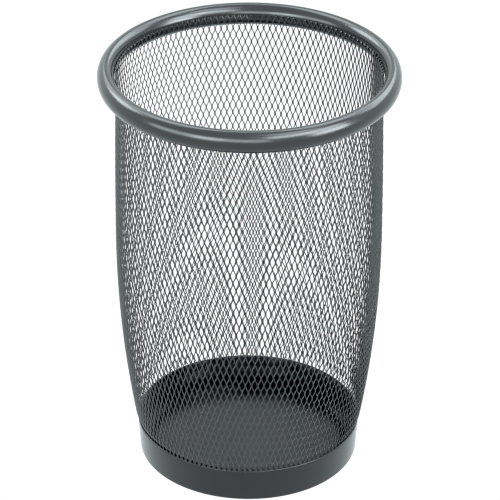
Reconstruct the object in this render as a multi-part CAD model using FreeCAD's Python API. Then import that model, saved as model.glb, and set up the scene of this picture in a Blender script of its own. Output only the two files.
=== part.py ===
import FreeCAD, Part
import math
import os

# A barrel-shaped pen cup of powder-coated steel, in millimetres.  It stands on Z = 0 with its axis
# on Z.  A sheet of expanded metal is rolled into the wall, a hollow tube ring is welded round the
# outside of its top edge, and a pressed pan closes the bottom and holds the wall's lower edge.

# The whole cup
CUP_HEIGHT = 124.0
RIM_DIAMETER = 85.0

# The rim is a hollow oval tube, taller than it is wide
RIM_TUBE_WIDTH = 4.8
RIM_TUBE_HEIGHT = 6.5
RIM_TUBE_WALL = 0.6

# The wall: an upright collar under the rim, a barrel of two arcs, and a short skirt inside the pan
WALL_THICKNESS = 0.5
WALL_TOP_BELOW_RIM_TOP = 2.4
COLLAR_HEIGHT = 13.6
BELLY_RADIUS = 38.05
BELLY_HEIGHT = 71.2
LOWER_ARC_RADIUS = 339.0
LOWER_ARC_START_HEIGHT = 12.4
WALL_SKIRT_DEPTH = 3.0
RIM_WELD_GAP = 0.03

# The pan is one pressed sheet: a raised floor, a foot ring and a band round the wall's lower edge
PAN_SHEET = 0.6
BAND_HEIGHT = 10.3
BAND_TOP_RADIUS = 32.35
BAND_FOOT_RADIUS = 31.64
FOOT_RING_INNER_RADIUS = 28.8
FLOOR_PANEL_RADIUS = 26.8
FLOOR_PANEL_RISE = 2.0
FOOT_CORNER_RADIUS = 1.0
STEP_CORNER_RADIUS = 0.9
LIP_CORNER_RADIUS = 0.22

# Sizes that follow from those
RIM_CENTRE_RADIUS = (RIM_DIAMETER - RIM_TUBE_WIDTH) / 2
RIM_CENTRE_HEIGHT = CUP_HEIGHT - RIM_TUBE_HEIGHT / 2
COLLAR_RADIUS = RIM_DIAMETER / 2 - RIM_TUBE_WIDTH - RIM_WELD_GAP
WALL_TOP = CUP_HEIGHT - WALL_TOP_BELOW_RIM_TOP
COLLAR_BOTTOM = WALL_TOP - COLLAR_HEIGHT
UPPER_ARC_RADIUS = (
    (COLLAR_BOTTOM - BELLY_HEIGHT) ** 2 / (BELLY_RADIUS - COLLAR_RADIUS)
    + BELLY_RADIUS - COLLAR_RADIUS
) / 2
BAND_SLOPE = (BAND_TOP_RADIUS - BAND_FOOT_RADIUS) / (BAND_HEIGHT - FOOT_CORNER_RADIUS)
STEP_ANGLE = math.atan2(FLOOR_PANEL_RISE, FOOT_RING_INNER_RADIUS - FLOOR_PANEL_RADIUS)
WALL_FOOT = BAND_HEIGHT - WALL_SKIRT_DEPTH


def point(radius, height):
    """A point of a half-section, in the XZ plane."""
    return FreeCAD.Vector(radius, 0, height)


def turned(wire):
    """The solid that a closed half-section makes round the Z axis."""
    return Part.Face(wire).revolve(FreeCAD.Vector(0, 0, 0), FreeCAD.Vector(0, 0, 1), 360)


def rounded_outline(corners):
    """A closed wire round (radius, height, corner radius) corners, with a tangent arc at each."""
    count = len(corners)
    arcs = []
    for i, (radius, height, bend) in enumerate(corners):
        corner = point(radius, height)
        before = (point(*corners[i - 1][:2]) - corner).normalize()
        after = (point(*corners[(i + 1) % count][:2]) - corner).normalize()
        half_angle = before.getAngle(after) / 2
        reach = bend / math.tan(half_angle)
        inward = (before + after).normalize()
        middle = corner + inward * (bend / math.sin(half_angle) - bend)
        arcs.append((corner + before * reach, middle, corner + after * reach, bend))
    edges = []
    for i, (start, middle, end, bend) in enumerate(arcs):
        if bend:
            edges.append(Part.Arc(start, middle, end).toShape())
        next_start = arcs[(i + 1) % count][0]
        edges.append(Part.LineSegment(end, next_start).toShape())
    return Part.Wire(edges)


def band_radius(height):
    """The pan's outer radius at a height on its tapered band."""
    return BAND_TOP_RADIUS - BAND_SLOPE * (BAND_HEIGHT - height)


def barrel_radius(height):
    """The wall's outer radius at a height between the band and the collar."""
    arc_radius = LOWER_ARC_RADIUS if height < BELLY_HEIGHT else UPPER_ARC_RADIUS
    drop = height - BELLY_HEIGHT
    return BELLY_RADIUS - arc_radius + math.sqrt(arc_radius**2 - drop**2)


def wall_side(inset):
    """The edges of the wall's outline from its foot to its top, at a depth inside its outer face."""

    def on_barrel(height):
        return point(barrel_radius(height) - inset, height)

    foot = point(band_radius(WALL_FOOT) - PAN_SHEET - inset, WALL_FOOT)
    skirt_top = point(BAND_TOP_RADIUS - PAN_SHEET - inset, BAND_HEIGHT)
    barrel_start = on_barrel(LOWER_ARC_START_HEIGHT)
    belly = on_barrel(BELLY_HEIGHT)
    collar_bottom = on_barrel(COLLAR_BOTTOM)
    collar_top = point(COLLAR_RADIUS - inset, WALL_TOP)
    lower_middle = on_barrel((LOWER_ARC_START_HEIGHT + BELLY_HEIGHT) / 2)
    upper_middle = on_barrel((BELLY_HEIGHT + COLLAR_BOTTOM) / 2)
    return [
        Part.LineSegment(foot, skirt_top).toShape(),
        Part.LineSegment(skirt_top, barrel_start).toShape(),
        Part.Arc(barrel_start, lower_middle, belly).toShape(),
        Part.Arc(belly, upper_middle, collar_bottom).toShape(),
        Part.LineSegment(collar_bottom, collar_top).toShape(),
    ]


def mesh_wall():
    """The rolled sheet of expanded metal, as a plain thin shell of its overall thickness."""
    outer = wall_side(0)
    inner = wall_side(WALL_THICKNESS)
    foot_edge = Part.LineSegment(inner[0].Vertexes[0].Point, outer[0].Vertexes[0].Point).toShape()
    top_edge = Part.LineSegment(outer[-1].Vertexes[-1].Point, inner[-1].Vertexes[-1].Point).toShape()
    return turned(Part.Wire([foot_edge] + outer + [top_edge] + inner[::-1]))


def oval(width, height):
    """A closed wire round the rim tube's section, with its long axis upright."""
    centre = point(RIM_CENTRE_RADIUS, RIM_CENTRE_HEIGHT)
    top = centre + FreeCAD.Vector(0, 0, height / 2)
    side = centre + FreeCAD.Vector(width / 2, 0, 0)
    return Part.Wire([Part.Ellipse(top, side, centre).toShape()])


def rim_ring():
    """The hollow oval tube round the wall's top edge."""
    outside = turned(oval(RIM_TUBE_WIDTH, RIM_TUBE_HEIGHT))
    inside = turned(oval(RIM_TUBE_WIDTH - 2 * RIM_TUBE_WALL, RIM_TUBE_HEIGHT - 2 * RIM_TUBE_WALL))
    return outside.cut(inside)


def base_pan():
    """The pressed pan, from the axis out along its underside, up the band and back over its top."""
    wide_step = STEP_CORNER_RADIUS + PAN_SHEET
    panel_top = FLOOR_PANEL_RISE + PAN_SHEET
    step_shift = PAN_SHEET * math.tan(STEP_ANGLE / 2)
    section = rounded_outline([
        (0, FLOOR_PANEL_RISE, 0),
        (FLOOR_PANEL_RADIUS, FLOOR_PANEL_RISE, STEP_CORNER_RADIUS),
        (FOOT_RING_INNER_RADIUS, 0, wide_step),
        (band_radius(0), 0, FOOT_CORNER_RADIUS),
        (BAND_TOP_RADIUS, BAND_HEIGHT, LIP_CORNER_RADIUS),
        (BAND_TOP_RADIUS - PAN_SHEET, BAND_HEIGHT, LIP_CORNER_RADIUS),
        (band_radius(PAN_SHEET) - PAN_SHEET, PAN_SHEET, FOOT_CORNER_RADIUS - PAN_SHEET),
        (FOOT_RING_INNER_RADIUS + step_shift, PAN_SHEET, STEP_CORNER_RADIUS),
        (FLOOR_PANEL_RADIUS + step_shift, panel_top, wide_step),
        (0, panel_top, 0),
    ])
    return turned(section)


os.makedirs("parts", exist_ok=True)
nodes = {"mesh_wall": mesh_wall(), "rim_ring": rim_ring(), "base_pan": base_pan()}
for name, shape in nodes.items():
    if not shape.isValid() or shape.Volume <= 0:
        raise RuntimeError(f"{name} is not a sound solid")
    shape.exportStep(f"parts/{name}.step")
    box = shape.BoundBox
    print(f"{name}: {shape.Volume:.0f} mm3, Z {box.ZMin:.2f} to {box.ZMax:.2f}, X to {box.XMax:.2f}")
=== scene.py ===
import math

import bmesh
import bpy
import numpy as np
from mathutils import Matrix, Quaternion, Vector

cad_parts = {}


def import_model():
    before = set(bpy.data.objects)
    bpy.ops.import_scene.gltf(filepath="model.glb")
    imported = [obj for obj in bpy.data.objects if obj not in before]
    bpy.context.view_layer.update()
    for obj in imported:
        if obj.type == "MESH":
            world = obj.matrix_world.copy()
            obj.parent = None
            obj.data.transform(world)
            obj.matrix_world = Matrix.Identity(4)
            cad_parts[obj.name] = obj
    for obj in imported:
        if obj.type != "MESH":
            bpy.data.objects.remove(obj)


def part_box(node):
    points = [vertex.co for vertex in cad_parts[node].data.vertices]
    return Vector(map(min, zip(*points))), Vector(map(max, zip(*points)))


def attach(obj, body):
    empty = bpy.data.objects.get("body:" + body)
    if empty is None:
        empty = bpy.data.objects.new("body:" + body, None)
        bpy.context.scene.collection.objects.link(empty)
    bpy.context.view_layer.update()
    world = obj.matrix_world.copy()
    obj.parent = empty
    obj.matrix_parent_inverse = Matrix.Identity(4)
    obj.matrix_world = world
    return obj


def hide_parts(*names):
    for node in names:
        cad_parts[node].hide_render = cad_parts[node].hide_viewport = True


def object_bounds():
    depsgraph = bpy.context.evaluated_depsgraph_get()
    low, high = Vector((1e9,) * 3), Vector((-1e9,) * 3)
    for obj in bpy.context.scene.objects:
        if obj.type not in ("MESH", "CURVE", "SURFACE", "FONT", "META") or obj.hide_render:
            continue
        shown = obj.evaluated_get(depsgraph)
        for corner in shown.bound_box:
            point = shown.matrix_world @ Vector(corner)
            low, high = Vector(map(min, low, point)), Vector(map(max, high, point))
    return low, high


# A pen cup of black powder-coated steel: a barrel of expanded mesh, a tube rim and a pressed pan.
# Every length is in metres.  Azimuths are angles round the axis, from the front (-Y) towards +X.

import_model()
cad_low, cad_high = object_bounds()

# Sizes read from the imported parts
WALL_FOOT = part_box("mesh_wall")[0].z
WALL_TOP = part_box("mesh_wall")[1].z
BELLY_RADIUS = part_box("mesh_wall")[1].x
BAND_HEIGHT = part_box("base_pan")[1].z
BAND_TOP_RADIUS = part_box("base_pan")[1].x
RIM_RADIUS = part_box("rim_ring")[1].x
RIM_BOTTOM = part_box("rim_ring")[0].z
RIM_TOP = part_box("rim_ring")[1].z

# Sizes of the parts that their boxes don't show
RIM_TUBE_WIDTH = 0.0048
WALL_THICKNESS = 0.0005
RIM_WELD_GAP = 0.00003
COLLAR_HEIGHT = 0.0136
BELLY_HEIGHT = 0.0712
LOWER_ARC_RADIUS = 0.339
LOWER_ARC_START_HEIGHT = 0.0124
PAN_SHEET = 0.0006
BAND_FOOT_RADIUS = 0.03164
FOOT_RING_INNER_RADIUS = 0.0288
FLOOR_PANEL_RADIUS = 0.0268
FLOOR_PANEL_RISE = 0.002
FOOT_CORNER_RADIUS = 0.001
INNER_FOOT_RADIUS = 0.00005
STEP_CORNER_RADIUS = 0.0009
LIP_CORNER_RADIUS = 0.00022

# Sizes that follow from those
COLLAR_RADIUS = RIM_RADIUS - RIM_TUBE_WIDTH - RIM_WELD_GAP
COLLAR_BOTTOM = WALL_TOP - COLLAR_HEIGHT
UPPER_ARC_RADIUS = (
    (COLLAR_BOTTOM - BELLY_HEIGHT) ** 2 / (BELLY_RADIUS - COLLAR_RADIUS)
    + BELLY_RADIUS - COLLAR_RADIUS
) / 2
BAND_SLOPE = (BAND_TOP_RADIUS - BAND_FOOT_RADIUS) / (BAND_HEIGHT - FOOT_CORNER_RADIUS)
SHEET_ORIGIN = PAN_SHEET + FOOT_CORNER_RADIUS

# The expanded mesh.  Columns and rows are half a diamond apart.  The shoulder is the share of a
# strand's width that its flat faces cover.  The lap steps inwards in the columns before the seam.
# A turn holds a little more than the sheet's columns, which the lap covers.
COLUMNS = 264
COLUMNS_PER_TURN = 264.8
COLUMN_ANGLE = 2 * math.pi / COLUMNS_PER_TURN
FIRST_ROW = 3
LAST_ROW = 53
BOND_SHARE = 0.34
STRAND_WIDTH = 0.00027
STRAND_THICKNESS = 0.00022
STRAND_TILT = math.radians(32)
SHOULDER = 0.7
SEAM_COLUMN = 66
LAP_COLUMNS = 17
LAP_STEP = 0.0004
LAP_RAMP_COLUMNS = 2

# How the rolled sheet falls: a half height, and how far in columns and rows it drifts from even
SHEET_HALF = 0.060
ROWS_PER_HALF = 25.193
MIDDLE_ROW = 25.812
ROWS_CLOSING = 0.662
ROW_DROP_RIGHT = 0.279
ROW_DROP_FRONT = 0.246
ROW_LEAN_FRONT = -0.137
COLUMN_START = 0.057
COLUMN_DRIFT_RIGHT = -0.493
COLUMN_DRIFT_FRONT = 0.011
COLUMN_TWIST = -0.07
COLUMN_LEAN_RIGHT = 0.25
COLUMN_LEAN_FRONT = -0.196
PLACING_PASSES = 5

# The path that the uncut sheet follows up the wall, which ends a little above the cut top edge
PATH_POINTS = 600
UNCUT_EXTRA = 0.003

# Turned skins
TURN_STEPS = 288
OVAL_STEPS = 48
ARC_STEPS = 12
LONGEST_STEP = 0.002

# The paint: its tones and gloss and how they drift, the size and depth of its orange peel, and its
# refractive index on each part.  Each noise has its own detail, and its middle range is spread out.
PAINT_DARK = (0.002, 0.0021, 0.0022)
PAINT_LIGHT = (0.003, 0.0031, 0.0032)
TONE_PATCH = 0.012
ROUGHNESS = 0.22
ROUGHNESS_DRIFT = 0.03
GLOSS_PATCH = 0.006
PEEL_DEPTH = 0.00001
PEEL_ON_TURNED_PARTS = 0.0006
PEEL_ON_STRANDS = 0.0004
PAN_IOR = 1.5
RIM_IOR = 1.6
STRAND_IOR = 1.8
TONE_DETAIL = 4
GLOSS_DETAIL = 3
PEEL_DETAIL = 2
NOISE_LOW = 0.3
NOISE_HIGH = 0.7

# The studio: softboxes all round, at four levels of radiance.  Each has a name, an azimuth and an
# elevation in degrees, and its level.
SOFTBOX_WIDTH = 0.48
SOFTBOX_HEIGHT = 0.36
SOFTBOX_DISTANCE = 1.0
KEY = 12.0
STRONG = 8.2
SOFT = 4.4
FAINT = 2.5
SOFTBOXES = [
    ("right_low", 60, 12, KEY),
    ("right_high", 60, 35, STRONG),
    ("front_right", 30, 35, STRONG),
    ("front", 0, 12, SOFT),
    ("front_left", -30, 12, STRONG),
    ("left_low", -60, 12, SOFT),
    ("back_left", -120, 35, STRONG),
    ("behind_left", -150, 35, FAINT),
    ("behind_right", 150, 35, SOFT),
    ("back_right", 120, 35, SOFT),
    ("top_front", 45, 60, SOFT),
    ("top_right", 135, 60, SOFT),
    ("top_left", -135, 60, SOFT),
    ("top_back", 180, 60, FAINT),
]

# The light is a little cool.  The ground and the sky have one brightness as the camera sees them
# and another as they light the cup.
LIGHT_COLOUR = (0.925, 1.02, 1.055)
SEEN_WHITE = 1.02
FLOOR_HALF = 3.0
FLOOR_GAP = 0.0002
FLOOR_GLOW = 1.25
SKY_GLOW = 1.4

# The camera, and the contrast and sharpness of its picture
CAMERA_AIM = Vector((0.00032, 0, 0.06487))
CAMERA_DISTANCE = 0.9963
CAMERA_ELEVATION = math.radians(29.37)
CAMERA_ROLL = 0.004
LENS_MM = 250.44
SENSOR_MM = 36
BLACK_POINT = 0.01
PIXEL_FILTER = 1.2


def mesh_piece(name, points, faces, node, material):
    """A smooth mesh object that stands for a CAD node and takes its finish."""
    used = sorted({corner for face in faces for corner in face})
    number = dict(zip(used, range(len(used))))
    mesh = bpy.data.meshes.new(name)
    mesh.from_pydata(points[used].tolist(), [], [[number[corner] for corner in face] for face in faces])
    mesh.validate()
    mesh.shade_smooth()
    mesh.materials.append(material)
    piece = bpy.data.objects.new(name, mesh)
    bpy.context.scene.collection.objects.link(piece)
    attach(piece, "root")
    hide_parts(node)
    return piece


# ---- The wall's shape -------------------------------------------------------------------------

def band_radius(height):
    """The pan's outer radius at a height on its tapered band."""
    return BAND_TOP_RADIUS - BAND_SLOPE * (BAND_HEIGHT - height)


def barrel_radius(height):
    """The wall's outer radius at heights between the band and the collar."""
    arc = np.where(height < BELLY_HEIGHT, LOWER_ARC_RADIUS, UPPER_ARC_RADIUS)
    return BELLY_RADIUS - arc + np.sqrt(arc**2 - (height - BELLY_HEIGHT) ** 2)


def wall_path():
    """The middle of the uncut sheet: lengths along it, radii and heights."""
    heights = np.linspace(SHEET_ORIGIN, WALL_TOP + UNCUT_EXTRA, PATH_POINTS)
    skirt_heights = [SHEET_ORIGIN, BAND_HEIGHT, LOWER_ARC_START_HEIGHT]
    skirt_radii = [
        band_radius(SHEET_ORIGIN) - PAN_SHEET,
        BAND_TOP_RADIUS - PAN_SHEET,
        float(barrel_radius(LOWER_ARC_START_HEIGHT)),
    ]
    skirt = np.interp(heights, skirt_heights, skirt_radii)
    barrel = barrel_radius(np.clip(heights, LOWER_ARC_START_HEIGHT, COLLAR_BOTTOM))
    outer = np.where(heights < LOWER_ARC_START_HEIGHT, skirt, barrel)
    radii = outer - WALL_THICKNESS / 2
    steps = np.hypot(np.diff(radii), np.diff(heights))
    return np.concatenate([[0], np.cumsum(steps)]), radii, heights


# ---- The expanded mesh ------------------------------------------------------------------------
# The sheet is a brick pattern of bonds, each two strands wide, in columns half a diamond apart.
# From each bond one strand goes up to the next column on each side.  Nine points make a bond's
# section: three down its middle, and three round each side.  A half section is a strand's.

TOP, MIDDLE, BOTTOM = 0, 1, 2
SECTION = np.array([
    (0, 0.5), (0, 0), (0, -0.5),
    (SHOULDER, 0.5), (1, 0), (SHOULDER, -0.5),
    (-SHOULDER, 0.5), (-1, 0), (-SHOULDER, -0.5),
]) * (STRAND_WIDTH, STRAND_THICKNESS)
RIGHT_HALF = np.array([TOP, 3, 4, 5, BOTTOM, MIDDLE])
LEFT_HALF = np.array([6, TOP, MIDDLE, BOTTOM, 8, 7])
RING = len(SECTION)
SIDES = len(RIGHT_HALF)

# Each half with the other one, and with its sides that lie inside a whole bond
HALVES = [(RIGHT_HALF, LEFT_HALF, (4, 5)), (LEFT_HALF, RIGHT_HALF, (1, 2))]


def place_on_sheet(column, row):
    """The azimuth, and the length up the wall, of places on the sheet, found by going round again."""
    azimuth = column * COLUMN_ANGLE
    level = (row - MIDDLE_ROW) / ROWS_PER_HALF
    for _ in range(PLACING_PASSES):
        right, front = np.sin(azimuth), np.cos(azimuth)
        drift = COLUMN_START + COLUMN_DRIFT_RIGHT * right + COLUMN_DRIFT_FRONT * front
        lean = COLUMN_TWIST + COLUMN_LEAN_RIGHT * right + COLUMN_LEAN_FRONT * front
        drop = ROW_DROP_RIGHT * right + (ROW_DROP_FRONT + ROW_LEAN_FRONT * level) * front
        azimuth = (column - drift - lean * level) * COLUMN_ANGLE
        level = (row - MIDDLE_ROW - ROWS_CLOSING * level**2 - drop) / ROWS_PER_HALF
    return azimuth, (level + 1) * SHEET_HALF


def section_points(column, row, path):
    """The nine points round each place on the sheet, given by its column and row."""
    azimuth, length = place_on_sheet(column, row)
    lengths, radii, heights = path
    past_seam = column - SEAM_COLUMN - COLUMNS
    lapped = np.clip(past_seam / LAP_RAMP_COLUMNS + 1, 0, 1)
    radius = np.interp(length, lengths, radii) - LAP_STEP * lapped
    height = np.interp(length, lengths, heights)
    sine, cosine = np.sin(azimuth), np.cos(azimuth)
    level = np.zeros_like(azimuth)
    along = np.stack([cosine, sine, level], -1)
    outward = np.stack([sine, -cosine, level], -1)
    flat = along * math.cos(STRAND_TILT) - outward * math.sin(STRAND_TILT)
    edge = along * math.sin(STRAND_TILT) + outward * math.cos(STRAND_TILT)
    centre = outward * radius[..., None] + np.stack([level, level, height], -1)
    across, through = SECTION[:, 0, None], SECTION[:, 1, None]
    return centre[..., None, :] + across * flat[..., None, :] + through * edge[..., None, :]


def tube(start, end, sides=range(SIDES)):
    """Quads between two six-point sections, on the given sides."""
    return [
        np.stack([start[:, j], start[:, (j + 1) % SIDES], end[:, (j + 1) % SIDES], end[:, j]], 1)
        for j in sides
    ]


def expanded_sheet(first, last):
    """Points and faces of the uncut strands between two columns."""
    path = wall_path()
    every_column = np.arange(first, last + 1)
    every_row = np.arange(FIRST_ROW, LAST_ROW + 1)
    columns, rows = np.meshgrid(every_column, every_row, indexing="ij")
    bonds = (columns + rows) % 2 == 0
    number = np.full(bonds.shape, -1)
    number[bonds] = np.arange(bonds.sum())
    column = columns[bonds].astype(float)
    lower = section_points(column, rows[bonds] - BOND_SHARE / 2, path)
    upper = section_points(column, rows[bonds] + BOND_SHARE / 2, path)
    points = np.stack([lower, upper], 1).reshape(-1, 3)
    ribbons = np.arange(first, last)
    faces = []

    def half(column, row, side):
        """The lower and upper six-point sections of one half of the bonds at those places."""
        base = number[column - first, row - FIRST_ROW][:, None] * 2 * RING + side
        return base, base + RING

    for row in every_row:
        for side, other, inner_sides in HALVES:
            goes_right = side is RIGHT_HALF
            ribbon = ribbons[((ribbons + row) % 2 == 0) == goes_right]
            here = ribbon if goes_right else ribbon + 1
            beyond = ribbon + 1 if goes_right else ribbon
            low, high = half(here, row, side)
            outer_sides = [j for j in range(SIDES) if j not in inner_sides]
            faces += tube(low, high, outer_sides)
            at_edge = here == (first if goes_right else last)
            faces += tube(low[at_edge], high[at_edge], inner_sides)
            if row < LAST_ROW:
                faces += tube(high, half(beyond, row + 1, other)[0])
    return points, np.concatenate(faces).tolist()


def trim(piece, height, keep_above):
    """Cuts a piece level at a height and closes the cut ends of its strands."""
    shape = bmesh.new()
    shape.from_mesh(piece.data)
    cut = bmesh.ops.bisect_plane(
        shape,
        geom=[*shape.verts, *shape.edges, *shape.faces],
        plane_co=(0, 0, height),
        plane_no=(0, 0, -1 if keep_above else 1),
        clear_outer=True,
    )
    rims = [item for item in cut["geom_cut"] if isinstance(item, bmesh.types.BMEdge)]
    for face in bmesh.ops.holes_fill(shape, edges=rims)["faces"]:
        face.smooth = False
    shape.to_mesh(piece.data)
    shape.free()


def mesh_wall(material):
    """The rolled sheet in two half-round pieces that share the cut opposite the lap seam."""
    half_way = SEAM_COLUMN + COLUMNS // 2
    spans = {
        "mesh_wall_back": (SEAM_COLUMN, half_way),
        "mesh_wall_front": (half_way, SEAM_COLUMN + COLUMNS + LAP_COLUMNS),
    }
    for name, (first, last) in spans.items():
        points, faces = expanded_sheet(first, last)
        piece = mesh_piece(name, points, faces, "mesh_wall", material)
        trim(piece, WALL_FOOT, keep_above=True)
        trim(piece, WALL_TOP, keep_above=False)


# ---- The turned parts -------------------------------------------------------------------------

def turned(outline):
    """Points and quads of a closed outline of (radius, height) points, turned about the axis."""
    count = len(outline)
    turn = np.linspace(0, 2 * math.pi, TURN_STEPS, endpoint=False)[:, None]
    radius, height = outline[:, 0], outline[:, 1]
    points = np.stack([
        radius * np.cos(turn),
        radius * np.sin(turn),
        np.broadcast_to(height, (TURN_STEPS, count)),
    ], -1).reshape(-1, 3)
    here = np.arange(TURN_STEPS * count).reshape(TURN_STEPS, count)
    here[:, radius == 0] = here[0, radius == 0]
    along = np.roll(here, -1, axis=1)
    onward = np.roll(here, -1, axis=0)
    both = np.roll(onward, -1, axis=1)
    quads = np.stack([here, onward, both, along], -1).reshape(-1, 4)
    distinct = [list(dict.fromkeys(quad)) for quad in quads.tolist()]
    return points, [face for face in distinct if len(face) > 2]


def rim_ring(material):
    """The oval tube round the wall's top edge."""
    turn = np.linspace(0, 2 * math.pi, OVAL_STEPS, endpoint=False)
    outline = np.stack([
        RIM_RADIUS - RIM_TUBE_WIDTH / 2 + RIM_TUBE_WIDTH / 2 * np.cos(turn),
        (RIM_TOP + RIM_BOTTOM) / 2 + (RIM_TOP - RIM_BOTTOM) / 2 * np.sin(turn),
    ], -1)
    points, faces = turned(outline)
    mesh_piece("rim_tube", points, faces, "rim_ring", material)


def rounded_outline(corners):
    """Points along a closed outline of (radius, height, corner radius), its corners as arcs."""
    points = []
    for i, (radius, height, bend) in enumerate(corners):
        corner = Vector((radius, height))
        if not bend:
            points.append(tuple(corner))
            continue
        before = (Vector(corners[i - 1][:2]) - corner).normalized()
        after = (Vector(corners[(i + 1) % len(corners)][:2]) - corner).normalized()
        half_angle = before.angle(after) / 2
        centre = corner + (before + after).normalized() * (bend / math.sin(half_angle))
        start = (corner + before * (bend / math.tan(half_angle)) - centre).normalized()
        end = (corner + after * (bend / math.tan(half_angle)) - centre).normalized()
        for step in range(ARC_STEPS + 1):
            points.append(tuple(centre + start.slerp(end, step / ARC_STEPS) * bend))
    filled = []
    for start, end in zip(points, points[1:] + points[:1]):
        steps = math.ceil(math.dist(start, end) / LONGEST_STEP)
        filled += [tuple(Vector(start).lerp(Vector(end), step / steps)) for step in range(steps)]
    return np.array(filled)


def base_pan(material):
    """The pressed pan, from near the axis out along its underside, up the band and back inside."""
    wide_step = STEP_CORNER_RADIUS + PAN_SHEET
    panel_top = FLOOR_PANEL_RISE + PAN_SHEET
    step_angle = math.atan2(FLOOR_PANEL_RISE, FOOT_RING_INNER_RADIUS - FLOOR_PANEL_RADIUS)
    step_shift = PAN_SHEET * math.tan(step_angle / 2)
    outline = rounded_outline([
        (0, FLOOR_PANEL_RISE, 0),
        (FLOOR_PANEL_RADIUS, FLOOR_PANEL_RISE, STEP_CORNER_RADIUS),
        (FOOT_RING_INNER_RADIUS, 0, wide_step),
        (band_radius(0), 0, FOOT_CORNER_RADIUS),
        (BAND_TOP_RADIUS, BAND_HEIGHT, LIP_CORNER_RADIUS),
        (BAND_TOP_RADIUS - PAN_SHEET, BAND_HEIGHT, LIP_CORNER_RADIUS),
        (band_radius(PAN_SHEET) - PAN_SHEET, PAN_SHEET, INNER_FOOT_RADIUS),
        (FOOT_RING_INNER_RADIUS + step_shift, PAN_SHEET, STEP_CORNER_RADIUS),
        (FLOOR_PANEL_RADIUS + step_shift, panel_top, wide_step),
        (0, panel_top, 0),
    ])
    points, faces = turned(outline)
    mesh_piece("pan_shell", points, faces, "base_pan", material)


# ---- Materials --------------------------------------------------------------------------------

def powder_coat(name, peel_size, ior):
    """Black powder coat: a dark colour that drifts a little, with orange peel in gloss and relief."""
    material = bpy.data.materials.new(name)
    material.use_nodes = True
    nodes = material.node_tree.nodes
    links = material.node_tree.links
    shader = nodes["Principled BSDF"]
    shader.inputs["IOR"].default_value = ior
    place = nodes.new("ShaderNodeTexCoord")

    def noise(size, detail):
        texture = nodes.new("ShaderNodeTexNoise")
        texture.inputs["Scale"].default_value = 1 / size
        texture.inputs["Detail"].default_value = detail
        links.new(place.outputs["Object"], texture.inputs["Vector"])
        return texture.outputs["Fac"]

    def spread(value, low, high):
        map_range = nodes.new("ShaderNodeMapRange")
        map_range.inputs["From Min"].default_value = NOISE_LOW
        map_range.inputs["From Max"].default_value = NOISE_HIGH
        map_range.inputs["To Min"].default_value = low
        map_range.inputs["To Max"].default_value = high
        links.new(value, map_range.inputs["Value"])
        return map_range.outputs["Result"]

    drift = nodes.new("ShaderNodeMix")
    drift.data_type = "RGBA"
    drift.inputs["A"].default_value = (*PAINT_DARK, 1)
    drift.inputs["B"].default_value = (*PAINT_LIGHT, 1)
    links.new(noise(TONE_PATCH, TONE_DETAIL), drift.inputs["Factor"])
    links.new(drift.outputs["Result"], shader.inputs["Base Color"])
    patches = noise(GLOSS_PATCH, GLOSS_DETAIL)
    gloss = spread(patches, ROUGHNESS - ROUGHNESS_DRIFT, ROUGHNESS + ROUGHNESS_DRIFT)
    links.new(gloss, shader.inputs["Roughness"])
    bump = nodes.new("ShaderNodeBump")
    bump.inputs["Strength"].default_value = 1
    bump.inputs["Distance"].default_value = PEEL_DEPTH
    links.new(noise(peel_size, PEEL_DETAIL), bump.inputs["Height"])
    links.new(bump.outputs["Normal"], shader.inputs["Normal"])
    return material


# ---- Floor, light and camera ------------------------------------------------------------------

def white_to_camera(tree, glow, colour):
    """Makes a colour socket plain white to the camera, and light of that radiance to all else."""
    path = tree.nodes.new("ShaderNodeLightPath")
    choice = tree.nodes.new("ShaderNodeMix")
    choice.data_type = "RGBA"
    choice.inputs["A"].default_value = (*(glow * part for part in LIGHT_COLOUR), 1)
    choice.inputs["B"].default_value = (SEEN_WHITE, SEEN_WHITE, SEEN_WHITE, 1)
    tree.links.new(path.outputs["Is Camera Ray"], choice.inputs["Factor"])
    tree.links.new(choice.outputs["Result"], colour)


def floor():
    """A plain white floor."""
    mesh = bpy.data.meshes.new("floor")
    corners = [(-1, -1), (1, -1), (1, 1), (-1, 1)]
    mesh.from_pydata([(x * FLOOR_HALF, y * FLOOR_HALF, 0) for x, y in corners], [], [(0, 1, 2, 3)])
    material = bpy.data.materials.new("floor_white")
    material.use_nodes = True
    nodes = material.node_tree.nodes
    nodes.remove(nodes["Principled BSDF"])
    glow = nodes.new("ShaderNodeEmission")
    material.node_tree.links.new(glow.outputs["Emission"], nodes["Material Output"].inputs["Surface"])
    white_to_camera(material.node_tree, FLOOR_GLOW, glow.inputs["Color"])
    mesh.materials.append(material)
    piece = bpy.data.objects.new("floor", mesh)
    bpy.context.scene.collection.objects.link(piece)
    piece.location.z = cad_low.z - FLOOR_GAP


def world():
    """White to the camera, and a softer white to everything that it lights."""
    made = bpy.data.worlds.new("studio")
    bpy.context.scene.world = made
    made.use_nodes = True
    white_to_camera(made.node_tree, SKY_GLOW, made.node_tree.nodes["Background"].inputs["Color"])


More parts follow.
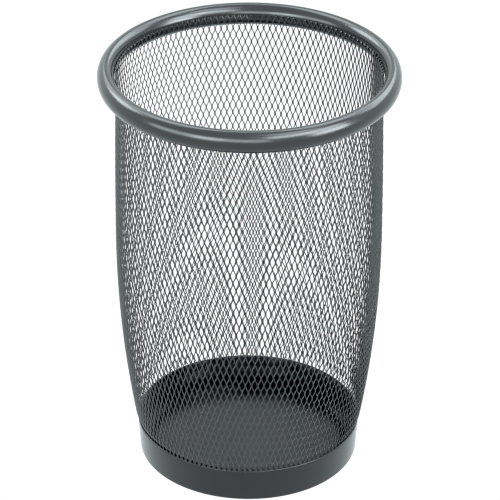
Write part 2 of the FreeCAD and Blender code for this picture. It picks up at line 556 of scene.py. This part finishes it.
def softbox(name, azimuth, elevation, radiance):
    """A rectangular light that faces the middle of the cup, given by the radiance of its face."""
    light = bpy.data.lights.new(name, "AREA")
    light.shape = "RECTANGLE"
    light.size = SOFTBOX_WIDTH
    light.size_y = SOFTBOX_HEIGHT
    light.energy = radiance * SOFTBOX_WIDTH * SOFTBOX_HEIGHT * math.pi
    light.color = LIGHT_COLOUR
    lamp = bpy.data.objects.new(name, light)
    lamp.visible_camera = False
    bpy.context.scene.collection.objects.link(lamp)
    turn, rise = math.radians(azimuth), math.radians(elevation)
    away = Vector((math.sin(turn) * math.cos(rise), -math.cos(turn) * math.cos(rise), math.sin(rise)))
    middle = Vector((0, 0, (cad_low.z + cad_high.z) / 2))
    lamp.location = middle + away * SOFTBOX_DISTANCE
    lamp.rotation_euler = away.to_track_quat("Z", "Y").to_euler()


def camera():
    """The photographer's place: close to a metre away and about 29 degrees above the horizon."""
    back = Vector((0, -math.cos(CAMERA_ELEVATION), math.sin(CAMERA_ELEVATION)))
    upright = back.to_track_quat("Z", "Y")
    data = bpy.data.cameras.new("camera")
    data.lens = LENS_MM
    data.sensor_width = SENSOR_MM
    seer = bpy.data.objects.new("camera", data)
    seer.location = CAMERA_AIM + back * CAMERA_DISTANCE
    seer.rotation_euler = (upright @ Quaternion((0, 0, 1), CAMERA_ROLL)).to_euler()
    bpy.context.scene.collection.objects.link(seer)
    bpy.context.scene.camera = seer


def picture():
    """The contrast and sharpness of the picture."""
    scene = bpy.context.scene
    scene.view_settings.view_transform = "Standard"
    scene.view_settings.use_curve_mapping = True
    scene.view_settings.curve_mapping.black_level = (BLACK_POINT,) * 3
    scene.cycles.filter_width = PIXEL_FILTER


mesh_wall(powder_coat("wall_paint", PEEL_ON_STRANDS, STRAND_IOR))
rim_ring(powder_coat("rim_paint", PEEL_ON_TURNED_PARTS, RIM_IOR))
base_pan(powder_coat("base_paint", PEEL_ON_TURNED_PARTS, PAN_IOR))
floor()
world()
for box in SOFTBOXES:
    softbox(*box)
camera()
picture()
